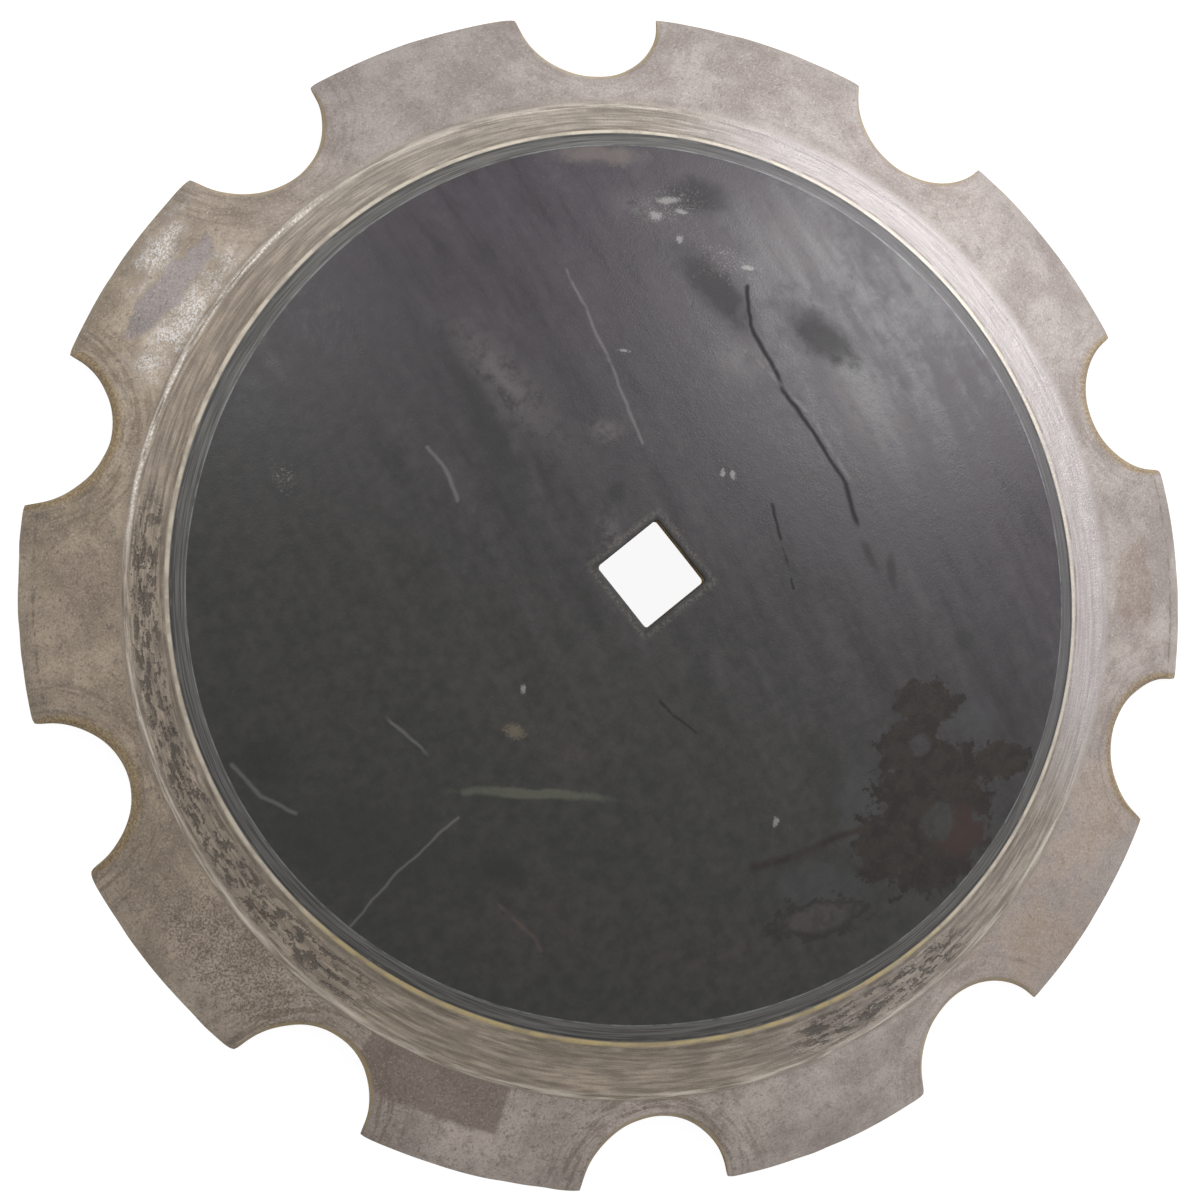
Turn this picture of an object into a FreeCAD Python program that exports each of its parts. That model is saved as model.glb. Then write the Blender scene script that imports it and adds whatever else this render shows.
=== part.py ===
import FreeCAD, Part
import math
import os
import Sketcher
from enum import IntEnum
from FreeCAD import Vector

# Notched harrow disc blade, one forged and pressed piece of steel.
#
# The blade is a shallow spherical dish with a square hole for the gang axle. It lies with its
# crown up, on the cutting edge: Z is the blade's axis, Z = 0 is the plane of the cutting edge,
# +X points at the middle of a tooth and +Y at the middle of a notch. The sides of the square
# hole lie along X and Y.
#
# Soil has worn the crown side of the rim. The middle keeps its full thickness and stands a
# little proud of the rim, with a short sloping step round it and a hollowed band at its foot.

# Driving dimensions in millimetres (notch_count is a number of notches).
SIZES = {
    "blade_diameter": 610.0,        # across the cutting edge
    "blade_thickness": 6.0,         # of the unworn middle
    "blade_concavity": 80.0,        # depth of the hollow side below the cutting edge's plane
    "plate_diameter": 446.0,        # unworn middle, which stands proud
    "step_width": 9.0,              # sloping step between the middle and the worn rim
    "wear_depth": 1.4,              # steel worn off the crown side of the rim
    "hollow_width": 23.0,           # hollowed band at the foot of the step
    "hollow_radius": 95.0,          # radius of that band's section
    "bevel_width": 8.0,             # sharpening bevel behind the cutting edge
    "edge_land": 1.5,               # height of the blunt land left at the cutting edge
    "notch_count": 10.0,
    "notch_radius": 38.0,
    "notch_circle_diameter": 611.0, # circle through the notch centres
    "notch_chamfer": 2.2,           # worn-off upper edge of each notch
    "axle_hole_side": 38.5,         # clears a 38.1 mm (1 1/2 in) square axle
    "axle_hole_corner": 2.0,        # corner radius of the punched hole
}

SHAPING_CLEARANCE = 5.0             # how far a cutting profile reaches past the steel
WALL_TOLERANCE = 0.01               # for finding edges by their place

# The dish's surfaces are spheres about one centre on the axis. The hollow side's sphere passes
# through the cutting edge, and the others lie outside it by the thickness of the steel.
RIM = SIZES["blade_diameter"] / 2
INNER_RADIUS = (RIM ** 2 + SIZES["blade_concavity"] ** 2) / (2 * SIZES["blade_concavity"])
OUTER_RADIUS = INNER_RADIUS + SIZES["blade_thickness"]
WORN_RADIUS = OUTER_RADIUS - SIZES["wear_depth"]
CENTRE = Vector(0, SIZES["blade_concavity"] - INNER_RADIUS, 0)

# The same sizes in the sheet's own terms, for the sketches' dimensions.
INNER_RADIUS_CELLS = ("((Sizes.blade_diameter ^ 2 / 4 + Sizes.blade_concavity ^ 2)"
                      " / (2 * Sizes.blade_concavity))")
WORN_RADIUS_CELLS = f"({INNER_RADIUS_CELLS} + Sizes.blade_thickness - Sizes.wear_depth)"
CENTRE_CELLS = f"(Sizes.blade_concavity - {INNER_RADIUS_CELLS})"
HEEL_CELLS = "(Sizes.blade_diameter / 2 - Sizes.bevel_width)"

# How a sketch counts the points of its lines and arcs, and its own origin and axes.
Point = IntEnum("Point", "START END CENTRE")
Frame = IntEnum("Frame", {"X_AXIS": -1, "Y_AXIS": -2})
ORIGIN = (Frame.X_AXIS, Point.START)

doc = FreeCAD.newDocument("HarrowDiscBlade")


def make_sheet():
    """Puts every driving dimension in a named cell."""
    sheet = doc.addObject("Spreadsheet::Sheet", "Sizes")
    for row, (name, value) in enumerate(SIZES.items(), start=1):
        sheet.set(f"A{row}", name)
        sheet.set(f"B{row}", str(value))
        sheet.setAlias(f"B{row}", name)
    doc.recompute()
    return sheet


def new_sketch(body, name, plane):
    """Starts a sketch on one of the body's own origin planes."""
    sketch = body.newObject("Sketcher::SketchObject", name)
    support = next(item for item in body.Origin.OriginFeatures if item.Role == plane)
    sketch.AttachmentSupport = (support, [""])
    sketch.MapMode = "FlatFace"
    return sketch


def constrain(sketch, *args):
    """Adds a geometric constraint."""
    return sketch.addConstraint(Sketcher.Constraint(*args))


def dimension(sketch, name, expression, *args):
    """Adds a named dimension and binds it to an expression of the sheet's cells."""
    index = constrain(sketch, *args)
    sketch.renameConstraint(index, name)
    sketch.setExpression(f"Constraints.{name}", expression)


def add_arc(sketch, centre, start, end):
    """Adds an arc that runs anticlockwise from start to end about centre."""
    circle = Part.Circle(centre, Vector(0, 0, 1), centre.distanceToPoint(start))
    first = math.atan2(start.y - centre.y, start.x - centre.x)
    last = math.atan2(end.y - centre.y, end.x - centre.x)
    return sketch.addGeometry(Part.ArcOfCircle(circle, first, last))


def add_line(sketch, start, end):
    return sketch.addGeometry(Part.LineSegment(start, end))


def arc_centre(start, end, radius):
    """Centre of the arc of this radius from start to end that bulges to the right of the way."""
    half = (end - start) * 0.5
    across = Vector(-half.y, half.x, 0).normalize()
    return start + half + across * math.sqrt(radius ** 2 - half.Length ** 2)


def on_dish(radius, reach):
    """The point at this distance from the axis on the dish surface of this radius."""
    return Vector(reach, CENTRE.y + math.sqrt(radius ** 2 - reach ** 2), 0)


def make_section(body):
    """Half section of the dish, from the axis to the rim, in the plane Y = 0."""
    plate_reach = SIZES["plate_diameter"] / 2
    foot_reach = plate_reach + SIZES["step_width"]
    crown = Vector(0, CENTRE.y + OUTER_RADIUS, 0)
    plate_edge = on_dish(OUTER_RADIUS, plate_reach)
    step_foot = on_dish(WORN_RADIUS, foot_reach)
    ridge = on_dish(WORN_RADIUS, foot_reach + SIZES["hollow_width"])
    rim_top = on_dish(WORN_RADIUS, RIM)
    rim_bottom = Vector(RIM, 0, 0)
    hollow_top = Vector(0, SIZES["blade_concavity"], 0)

    sketch = new_sketch(body, "Section", "XZ_Plane")
    cap = add_arc(sketch, CENTRE, plate_edge, crown)
    step = add_line(sketch, plate_edge, step_foot)
    hollow = add_arc(sketch, arc_centre(step_foot, ridge, SIZES["hollow_radius"]), step_foot, ridge)
    worn = add_arc(sketch, CENTRE, rim_top, ridge)
    land = add_line(sketch, rim_top, rim_bottom)
    inside = add_arc(sketch, CENTRE, rim_bottom, hollow_top)
    axis = add_line(sketch, hollow_top, crown)

    for first, first_end, second, second_end in (
            (cap, Point.START, step, Point.START),
            (step, Point.END, hollow, Point.START),
            (hollow, Point.END, worn, Point.END),
            (worn, Point.START, land, Point.START),
            (land, Point.END, inside, Point.START),
            (inside, Point.END, axis, Point.START),
            (axis, Point.END, cap, Point.END),
            (cap, Point.CENTRE, inside, Point.CENTRE),
            (worn, Point.CENTRE, inside, Point.CENTRE)):
        constrain(sketch, "Coincident", first, first_end, second, second_end)
    constrain(sketch, "PointOnObject", inside, Point.CENTRE, Frame.Y_AXIS)
    constrain(sketch, "PointOnObject", axis, Point.START, Frame.Y_AXIS)
    constrain(sketch, "PointOnObject", axis, Point.END, Frame.Y_AXIS)
    constrain(sketch, "PointOnObject", land, Point.END, Frame.X_AXIS)
    constrain(sketch, "PointOnObject", step, Point.END, worn)
    constrain(sketch, "Vertical", land)

    dimension(sketch, "rim_radius", "Sizes.blade_diameter / 2",
              "DistanceX", *ORIGIN, land, Point.END, RIM)
    dimension(sketch, "concavity", "Sizes.blade_concavity",
              "DistanceY", *ORIGIN, axis, Point.START, SIZES["blade_concavity"])
    dimension(sketch, "thickness", "Sizes.blade_thickness",
              "DistanceY", axis, Point.START, axis, Point.END, SIZES["blade_thickness"])
    dimension(sketch, "worn_radius", WORN_RADIUS_CELLS, "Radius", worn, WORN_RADIUS)
    dimension(sketch, "plate_radius", "Sizes.plate_diameter / 2",
              "DistanceX", *ORIGIN, step, Point.START, plate_reach)
    dimension(sketch, "step_width", "Sizes.step_width",
              "DistanceX", step, Point.START, step, Point.END, SIZES["step_width"])
    dimension(sketch, "hollow_width", "Sizes.hollow_width",
              "DistanceX", hollow, Point.START, hollow, Point.END, SIZES["hollow_width"])
    dimension(sketch, "hollow_radius", "Sizes.hollow_radius",
              "Radius", hollow, SIZES["hollow_radius"])
    return sketch


def make_dish(body):
    """Turns the half section about the blade's axis."""
    dish = body.newObject("PartDesign::Revolution", "Dish")
    section = make_section(body)
    dish.Profile = section
    dish.ReferenceAxis = (section, ["V_Axis"])
    dish.Angle = 360.0
    section.Visibility = False
    doc.recompute()
    return dish


def make_notches(body):
    """Crops one round notch on the +Y side and repeats it round the rim."""
    sketch = new_sketch(body, "NotchOutline", "XY_Plane")
    centre = Vector(0, SIZES["notch_circle_diameter"] / 2, 0)
    circle = sketch.addGeometry(Part.Circle(centre, Vector(0, 0, 1), SIZES["notch_radius"]))
    constrain(sketch, "PointOnObject", circle, Point.CENTRE, Frame.Y_AXIS)
    dimension(sketch, "notch_radius", "Sizes.notch_radius",
              "Radius", circle, SIZES["notch_radius"])
    dimension(sketch, "centre_distance", "Sizes.notch_circle_diameter / 2",
              "DistanceY", *ORIGIN, circle, Point.CENTRE, centre.y)

    notch = body.newObject("PartDesign::Pocket", "Notch")
    notch.Profile = sketch
    notch.Type = "ThroughAll"
    notch.Midplane = True
    doc.recompute()

    notches = body.newObject("PartDesign::PolarPattern", "Notches")
    notches.Originals = [notch]
    notches.Axis = (sketch, ["N_Axis"])
    notches.Angle = 360.0
    notches.setExpression("Occurrences", "Sizes.notch_count")
    body.Tip = notches
    doc.recompute()
    return notches


def upper_notch_edges(shape):
    """Names of the edges where the notch walls meet the crown side of the rim."""
    names = []
    radius = SIZES["notch_radius"]
    centre_distance = SIZES["notch_circle_diameter"] / 2
    pitch = 2 * math.pi / SIZES["notch_count"]
    for number, edge in enumerate(shape.Edges, start=1):
        middle = edge.valueAt((edge.FirstParameter + edge.LastParameter) / 2)
        reach = math.hypot(middle.x, middle.y)
        if reach > RIM - WALL_TOLERANCE:
            continue
        # Turn the edge's middle into the first notch, which lies on the +Y axis.
        azimuth = math.atan2(middle.y, middle.x) - math.pi / 2
        azimuth -= pitch * round(azimuth / pitch)
        from_centre = math.hypot(reach * math.sin(azimuth),
                                 reach * math.cos(azimuth) - centre_distance)
        on_wall = abs(from_centre - radius) < WALL_TOLERANCE
        on_crown_side = abs(middle.z - on_dish(WORN_RADIUS, reach).y) < WALL_TOLERANCE
        if on_wall and on_crown_side:
            names.append(f"Edge{number}")
    return names


def make_notch_chamfers(body):
    """Takes the worn-off upper edge off every notch."""
    notches = body.Tip
    chamfer = body.newObject("PartDesign::Chamfer", "NotchEdges")
    chamfer.Base = (notches, upper_notch_edges(notches.Shape))
    chamfer.setExpression("Size", "Sizes.notch_chamfer")
    doc.recompute()
    return chamfer


def make_bevel(body):
    """Grinds the sharpening bevel on the crown side, down to the land at the cutting edge."""
    width = SIZES["bevel_width"]
    heel = on_dish(WORN_RADIUS, RIM - width)
    land_top = Vector(RIM, SIZES["edge_land"], 0)
    toe = heel + (land_top - heel) * ((width + SHAPING_CLEARANCE) / width)
    above_toe = Vector(toe.x, heel.y + SHAPING_CLEARANCE, 0)
    above_heel = Vector(heel.x, above_toe.y, 0)

    sketch = new_sketch(body, "BevelProfile", "XZ_Plane")
    ground = add_line(sketch, heel, toe)
    outer = add_line(sketch, toe, above_toe)
    top = add_line(sketch, above_toe, above_heel)
    inner = add_line(sketch, above_heel, heel)
    land = sketch.addGeometry(Part.Point(land_top))
    sketch.setConstruction(land, True)
    for first, second in ((ground, outer), (outer, top), (top, inner), (inner, ground)):
        constrain(sketch, "Coincident", first, Point.END, second, Point.START)
    constrain(sketch, "Vertical", outer)
    constrain(sketch, "Horizontal", top)
    constrain(sketch, "Vertical", inner)
    constrain(sketch, "PointOnObject", land, Point.START, ground)

    dimension(sketch, "rim_radius", "Sizes.blade_diameter / 2",
              "DistanceX", *ORIGIN, land, Point.START, RIM)
    dimension(sketch, "edge_land", "Sizes.edge_land",
              "DistanceY", *ORIGIN, land, Point.START, SIZES["edge_land"])
    dimension(sketch, "heel_reach", HEEL_CELLS,
              "DistanceX", *ORIGIN, ground, Point.START, heel.x)
    dimension(sketch, "heel_height",
              f"{CENTRE_CELLS} + sqrt({WORN_RADIUS_CELLS} ^ 2 - {HEEL_CELLS} ^ 2)",
              "DistanceY", *ORIGIN, ground, Point.START, heel.y)
    constrain(sketch, "DistanceX", land, Point.START, outer, Point.START, SHAPING_CLEARANCE)
    constrain(sketch, "DistanceY", ground, Point.START, top, Point.START, SHAPING_CLEARANCE)

    bevel = body.newObject("PartDesign::Groove", "Bevel")
    bevel.Profile = sketch
    bevel.ReferenceAxis = (sketch, ["V_Axis"])
    bevel.Angle = 360.0
    doc.recompute()
    return bevel


def make_axle_hole(body):
    """Punches the square axle hole with its rounded corners."""
    side = SIZES["axle_hole_side"]
    corner = SIZES["axle_hole_corner"]
    sketch = new_sketch(body, "AxleHoleOutline", "XY_Plane")
    flat = side / 2 - corner
    sides = []
    corners = []
    for quarter in range(4):
        turn = FreeCAD.Rotation(Vector(0, 0, 1), 90 * quarter)
        start = turn.multVec(Vector(side / 2, -flat, 0))
        end = turn.multVec(Vector(side / 2, flat, 0))
        sides.append(add_line(sketch, start, end))
        centre = turn.multVec(Vector(flat, flat, 0))
        circle = Part.Circle(centre, Vector(0, 0, 1), corner)
        first = math.pi / 2 * quarter
        corners.append(sketch.addGeometry(Part.ArcOfCircle(circle, first, first + math.pi / 2)))
    for quarter in range(4):
        following = sides[(quarter + 1) % 4]
        constrain(sketch, "Tangent", sides[quarter], Point.END, corners[quarter], Point.START)
        constrain(sketch, "Tangent", corners[quarter], Point.END, following, Point.START)
    for quarter in (1, 2, 3):
        constrain(sketch, "Equal", corners[0], corners[quarter])
    constrain(sketch, "Vertical", sides[0])
    constrain(sketch, "Horizontal", sides[1])
    constrain(sketch, "Vertical", sides[2])
    constrain(sketch, "Horizontal", sides[3])
    dimension(sketch, "corner_radius", "Sizes.axle_hole_corner", "Radius", corners[0], corner)
    dimension(sketch, "half_side_right", "Sizes.axle_hole_side / 2",
              "DistanceX", *ORIGIN, sides[0], Point.START, side / 2)
    dimension(sketch, "half_side_back", "Sizes.axle_hole_side / 2",
              "DistanceY", *ORIGIN, sides[1], Point.START, side / 2)
    dimension(sketch, "side_across", "Sizes.axle_hole_side",
              "DistanceX", sides[2], Point.START, sides[0], Point.START, side)
    dimension(sketch, "side_along", "Sizes.axle_hole_side",
              "DistanceY", sides[3], Point.START, sides[1], Point.START, side)

    hole = body.newObject("PartDesign::Pocket", "AxleHole")
    hole.Profile = sketch
    hole.Type = "ThroughAll"
    hole.Midplane = True
    doc.recompute()
    return hole


def make_blade():
    """Builds the blade feature by feature, and checks that each cut takes steel away."""
    body = doc.addObject("PartDesign::Body", "DiscBlade")
    body.Label = "disc_blade"
    volume = make_dish(body).Shape.Volume
    for cut in (make_notches, make_notch_chamfers, make_bevel, make_axle_hole):
        feature = cut(body)
        check_document()
        if not feature.Shape.Volume < volume:
            raise RuntimeError(f"{feature.Label} cut nothing")
        volume = feature.Shape.Volume
    return body


def check_document():
    """Stops on any feature that failed to compute."""
    for item in doc.Objects:
        if "Invalid" in item.State or "Error" in item.State:
            raise RuntimeError(f"{item.Label} failed: {item.State}")


def write_part(body):
    """Checks the finished solid and writes it to its STEP file."""
    shape = body.Shape
    if shape.isNull() or not shape.isValid() or len(shape.Solids) != 1:
        raise RuntimeError(f"{body.Label} is not one valid solid")
    os.makedirs("parts", exist_ok=True)
    shape.exportStep(f"parts/{body.Label}.step")
    print(body.Label, "volume", round(shape.Volume), "mm3, box", shape.BoundBox)


make_sheet()
write_part(make_blade())
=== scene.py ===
import math

import bpy
import numpy as np
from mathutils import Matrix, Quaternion, Vector


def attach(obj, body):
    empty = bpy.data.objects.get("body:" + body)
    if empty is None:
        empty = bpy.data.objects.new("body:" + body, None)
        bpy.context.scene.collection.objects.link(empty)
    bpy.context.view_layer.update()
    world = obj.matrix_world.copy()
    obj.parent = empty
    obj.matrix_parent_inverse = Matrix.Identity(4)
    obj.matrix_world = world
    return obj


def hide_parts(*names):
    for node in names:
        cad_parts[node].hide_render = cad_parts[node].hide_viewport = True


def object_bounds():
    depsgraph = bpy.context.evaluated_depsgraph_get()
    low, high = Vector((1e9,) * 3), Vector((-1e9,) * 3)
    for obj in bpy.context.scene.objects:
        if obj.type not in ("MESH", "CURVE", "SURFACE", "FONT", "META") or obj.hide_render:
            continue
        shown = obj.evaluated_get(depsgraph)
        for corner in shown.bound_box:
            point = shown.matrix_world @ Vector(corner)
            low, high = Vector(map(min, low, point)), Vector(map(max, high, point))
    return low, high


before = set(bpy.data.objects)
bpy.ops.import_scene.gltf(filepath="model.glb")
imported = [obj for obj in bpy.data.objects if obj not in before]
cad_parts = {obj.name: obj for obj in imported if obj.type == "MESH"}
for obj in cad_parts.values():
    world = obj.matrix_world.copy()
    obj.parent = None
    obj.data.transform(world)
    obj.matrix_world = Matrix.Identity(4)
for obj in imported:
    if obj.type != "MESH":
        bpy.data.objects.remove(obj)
cad_low, cad_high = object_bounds()

# A used harrow disc blade, crown side up. Lengths below are in millimetres and angles in degrees,
# and MM turns a length into the metres that Blender holds. Azimuth runs anticlockwise from +X.
MM = 0.001

# The dish, as it is in the solid.
RIM = cad_high.x / MM
CONCAVITY = 80.0
THICKNESS = 6.0
WEAR = 1.4
INNER_SPHERE = (RIM ** 2 + CONCAVITY ** 2) / (2 * CONCAVITY)
OUTER_SPHERE = INNER_SPHERE + THICKNESS
WORN_SPHERE = OUTER_SPHERE - WEAR
SPHERE_CENTRE = CONCAVITY - INNER_SPHERE
BEVEL_WIDTH = 8.0
EDGE_LAND = 1.5
NOTCH_CHAMFER = 2.2
HOLLOW_DEPTH = 1.0
HOLE_SIDE = 38.5
HOLE_CORNER = 2.0

# The notches lie one in the middle of every pitch. Each has worn in its own way: how much wider
# its radius is than the solid's, how much deeper it goes, and how far it sits to the
# anticlockwise side of its place, going round from the notch next after +X. Every notch widens a
# little at its mouth, and no tooth keeps quite the solid's reach.
PITCH = 36.0
NOTCH_RADIUS = 38.0
NOTCH_BOTTOM = 267.5
NOTCH_WEAR = (
    (-0.5, 0, -1), (-2, 2, 0), (0, 1, 2), (0.5, -2, 1), (-1, -0.5, -1), (-2, -0.5, 0),
    (-1.5, 1, 1), (-0.5, -1, 0.5), (-1, -1, -1), (-2, 0, -2.5),
)
NOTCH_FLARE = 1.5
TOOTH_WEAR = (0.3, 1.6)

# Rings of the crown side by reach: the plate's edge, the foot of the step and the ridge. The
# waves say how each wanders: (waves in a turn, how far, azimuth of a crest).
PLATE_EDGE = 223.0
STEP_FOOT = 232.0
RIDGE = 252.0
PLATE_EDGE_WAVES = ((2, 1, -50), (3, 2, 50))
STEP_FOOT_WAVES = ((2, 1, -60), (3, 1.5, 45))
RIDGE_WAVES = ((1, 5, -145),)
RINGS_START = 205.0
RINGS_END = 260.0

# Where the ring's look changes round the blade: azimuth, half width and soft edge.
# The bright side faces the sheen lamp; there the rings are smooth, and their colour is laid
# lighter as a painted highlight.
BRIGHT_SIDE = (-10, 40, 20)
SOILED_SIDE = (170, 60, 30)
PITTED_SIDE = (165, 27, 12)
PITTED_SPOT = (263, 9, 6)
YELLOW_SIDE = (230, 36, 14)
# On this side the ridge's crest stands higher and carries white glints painted on as a highlight.
CREST_GLINT_SIDE = (112, 18, 10)
# On the lilac side, towards the sheen lamp, a cool reflection is painted into the rim's colour.
LILAC_SIDE = (-20, 100, 50)
# On this side, away from the lamps, the rim's steel is laid lighter as painted fill light.
PAINTED_FILL_SIDE = (255, 40, 45)
BROWN_SIDE = (288, 8, 12)
RUSTY_NOTCHES = ((126, 9, 3), (162, 9, 3), (306, 9, 3), (342, 7, 3))
# Teeth on which the heel of the bevel still shows as a line.
SHARP_HEELS = ((144, 13, 4), (324, 13, 4))
HEEL_SOFTNESS = 2.5
SHARP_HEEL_SOFTNESS = 0.4

# The mesh: one closed grid, columns round the axis and rows from the hole's edge outwards over
# the crown, down the rim, back along the hollow side and up the hole's wall.
PITCH_COLUMNS = 96
COLUMNS = PITCH_COLUMNS * len(NOTCH_WEAR)
NOTCH_SHARE = (0.25, 0.75)
HOLE_BLEND_END = 48.0


# Where the rows lie: shares of the way from the square hole to a circle, distances in from the
# outline on the crown and the hollow side, shares of the way down the rim's wall.
HOLE_SHARES = (0.0, 0.012, 0.04, 0.12, 0.3, 0.6)
CROWN_GAPS = (0.0, 0.8, 1.6, 2.3, 3.2, 4.6, 6.2, 7.4, 8.3, 9.4, 12, 15, 19, 23, 28, 33, 38, 45)
HOLLOW_GAPS = (0.0, 1.0, 4, 10, 18, 28, 45)
UNDER_HOLE_SHARES = (0.5, 0.1, 0.0)
WALL_SHARES = (0.35, 0.7)
# The hole's edge is a little broken: how far its first two rows lie below the plate.
HOLE_EDGE_DROP = (0.7, 0.15)

# Each random draw has a seed of its own, so that every run is the same.
SEED = {"teeth": 10, "tips": 11, "fine_edge": 12, "edge": 13, "grooves": 21, "lumps": 22,
        "pits": 23, "nicks": 24, "heel": 31, "dents": 32}


def dome(sphere, reach):
    """Height of a dish surface: the sphere's centre plus sqrt(sphere^2 - reach^2)."""
    return SPHERE_CENTRE + np.sqrt(sphere ** 2 - reach ** 2)


def smooth(value, low, high):
    """Smooth step: 0 below low, 1 above high, 3t^2 - 2t^3 between."""
    share = np.clip((value - low) / (high - low), 0.0, 1.0)
    return share * share * (3.0 - 2.0 * share)


def polar(reach, azimuth):
    """Plan points at these reaches and azimuths (radians), as an array of (x, y)."""
    return np.stack([reach * np.cos(azimuth), reach * np.sin(azimuth)], axis=-1)


def wander(azimuth, waves):
    """Sum over the waves of size * cos(count * (azimuth - crest))."""
    return 0 * azimuth + sum(size * np.cos(count * (azimuth - math.radians(crest)))
                             for count, size, crest in waves)


def turn_share(azimuth, towards, half, soft):
    """1 within half of the direction towards, falling smoothly to 0 over soft, in degrees."""
    away = np.degrees(np.arccos(np.clip(np.cos(azimuth - math.radians(towards)), -1.0, 1.0)))
    return 1.0 - smooth(away, half, half + soft)


def soft_lowest(first, second, softness):
    """The lower of two heights, with their crossing rounded: the share s of the first rises from
    0 to 1 while they differ by less than softness, and softness * s * (1 - s) is taken off."""
    share = np.clip(0.5 + 0.5 * (second - first) / softness, 0.0, 1.0)
    return second + share * (first - second) - softness * share * (1 - share)


def lattice_noise(seed, azimuth, across, cells, cell_width):
    """Smooth noise from -1 to 1 over a turn and a width: random values at the corners of cells
    (that many in a turn, cell_width wide across), joined by smooth steps and closed round."""
    turn = (azimuth / (2 * math.pi)) % 1.0 * cells
    row = across / cell_width
    row = row - row.min()
    lattice = np.random.default_rng(seed).uniform(-1.0, 1.0, (cells, int(row.max()) + 2))
    i, j = np.floor(turn).astype(int), np.floor(row).astype(int)
    s, t = smooth(turn - i, 0, 1), smooth(row - j, 0, 1)
    near, far = i % cells, (i + 1) % cells
    low = lattice[near, j] * (1 - s) + lattice[far, j] * s
    high = lattice[near, j + 1] * (1 - s) + lattice[far, j + 1] * s
    return low * (1 - t) + high * t


def columns():
    """Azimuth of every column, in radians."""
    return np.arange(COLUMNS) * (2 * math.pi / COLUMNS)


def notch_values():
    """For every column: its place in the pitch (0 to 1, the notch in the middle), and the
    radius, centre reach and centre azimuth of its notch and the tooth reaches at both sides."""
    pitch, step = np.divmod(np.arange(COLUMNS), PITCH_COLUMNS)
    wider, deeper, aside = np.array(NOTCH_WEAR, float).T
    radius = NOTCH_RADIUS + wider
    bottom = NOTCH_BOTTOM - deeper
    following = RIM - np.random.default_rng(SEED["teeth"]).uniform(*TOOTH_WEAR, len(NOTCH_WEAR))
    before = np.roll(following, 1)
    return {
        "place": step / PITCH_COLUMNS,
        "start": np.radians(PITCH) * pitch,
        "radius": radius[pitch],
        "centre": (bottom + radius)[pitch],
        "azimuth": np.radians(PITCH) * (pitch + 0.5) + aside[pitch] / RIM,
        "before": before[pitch],
        "after": following[pitch],
    }


def toothed_outline(notch):
    """Plan of the toothed rim, a point for each column. The first and last quarter of a pitch
    are arcs about the axis at the teeth's reach, and the half between them is the notch's arc
    about its own centre, whose radius grows by the flare near the mouth. Both meet at their
    corner, which the law of cosines gives."""
    centre, mouth = notch["centre"], notch["radius"] + NOTCH_FLARE
    start, end = NOTCH_SHARE

    def corner_from_axis(tooth):
        return np.arccos((centre ** 2 + tooth ** 2 - mouth ** 2) / (2 * centre * tooth))

    def corner_from_notch(tooth):
        return np.arccos((centre ** 2 + mouth ** 2 - tooth ** 2) / (2 * centre * mouth))

    before_end = notch["azimuth"] - corner_from_axis(notch["before"])
    after_start = notch["azimuth"] + corner_from_axis(notch["after"])
    next_start = notch["start"] + np.radians(PITCH)
    share = notch["place"] / start
    before = polar(notch["before"], notch["start"] + share * (before_end - notch["start"]))
    share = (notch["place"] - end) / (1 - end)
    after = polar(notch["after"], after_start + share * (next_start - after_start))

    share = (notch["place"] - start) / (end - start)
    first = -corner_from_notch(notch["before"])
    last = corner_from_notch(notch["after"])
    turn = first + share * (last - first)
    radius = notch["radius"] + NOTCH_FLARE * smooth(np.abs(2 * share - 1), 0.45, 1.0)
    wall = polar(centre, notch["azimuth"]) - polar(radius, notch["azimuth"] - turn)

    place = notch["place"][:, None]
    return np.where(place <= start, before, np.where(place >= end, after, wall))


def worn_outline(notch, azimuth):
    """The toothed outline with its tips a little rounded and its edge a little uneven."""
    sharp = toothed_outline(notch)
    rounded = sharp
    for _ in range(4):
        rounded = (np.roll(rounded, 1, axis=0) + 2 * rounded + np.roll(rounded, -1, axis=0)) / 4
    softness = 0.5 + 0.5 * lattice_noise(SEED["tips"], azimuth, np.zeros(COLUMNS), 20, 1.0)
    outline = sharp + softness[:, None] * (rounded - sharp)
    flat = np.zeros(COLUMNS)
    uneven = (0.2 * lattice_noise(SEED["fine_edge"], azimuth, flat, 240, 1.0)
              + 0.25 * lattice_noise(SEED["edge"], azimuth, flat, 90, 1.0) - 0.35)
    reach = np.linalg.norm(outline, axis=-1)
    return outline * ((reach + uneven) / reach)[:, None]


def square_reach(azimuth, side, corner):
    """Reach of a square with rounded corners: side/2 / cos(a) along a flat, and along a corner
    the far crossing of the ray with the corner's circle, a being the angle from the flat."""
    angle = np.abs((azimuth + math.pi / 4) % (math.pi / 2) - math.pi / 4)
    flat = side / 2 - corner
    along = flat * (np.cos(angle) + np.sin(angle))
    around = along + np.sqrt(np.maximum(along ** 2 - 2 * flat ** 2 + corner ** 2, 0.0))
    straight = side / 2 / np.cos(angle)
    return np.where(np.tan(angle) <= flat / (side / 2), straight, around)


def hole_rows(azimuth, shares):
    """Rows that turn the square hole's outline into a circle: hole + share * (circle - hole)."""
    hole = square_reach(azimuth, HOLE_SIDE, HOLE_CORNER)[None, :]
    share = np.array(shares)[:, None]
    return hole + share * (HOLE_BLEND_END - hole)


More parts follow.
